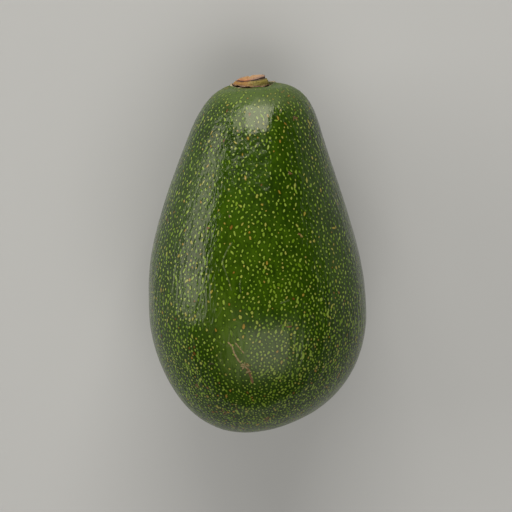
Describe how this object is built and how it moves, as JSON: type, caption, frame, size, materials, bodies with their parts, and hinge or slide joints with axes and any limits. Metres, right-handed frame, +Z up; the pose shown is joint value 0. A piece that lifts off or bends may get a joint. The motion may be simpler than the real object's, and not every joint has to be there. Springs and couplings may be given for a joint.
{
  "type": "whole avocado",
  "caption": "Whole pear-shaped green avocado lying on its side, with glossy speckled skin and the dry stub of its stalk still in the stem end.",
  "frame": {"origin": "on the resting surface, below the middle of the avocado's outer box", "axes": "+Z up; +Y towards the stem end, along the fruit's length; +X to the right when seen from above with the stem end at the top"},
  "size_m": [0.0702, 0.115, 0.0701],
  "materials": {
    "skin": "satin",
    "dry_stem": "matte"
  },
  "bodies": {
    "root": {"fruit": "skin", "stem_button": "dry_stem"}
  },
  "joints": []
}
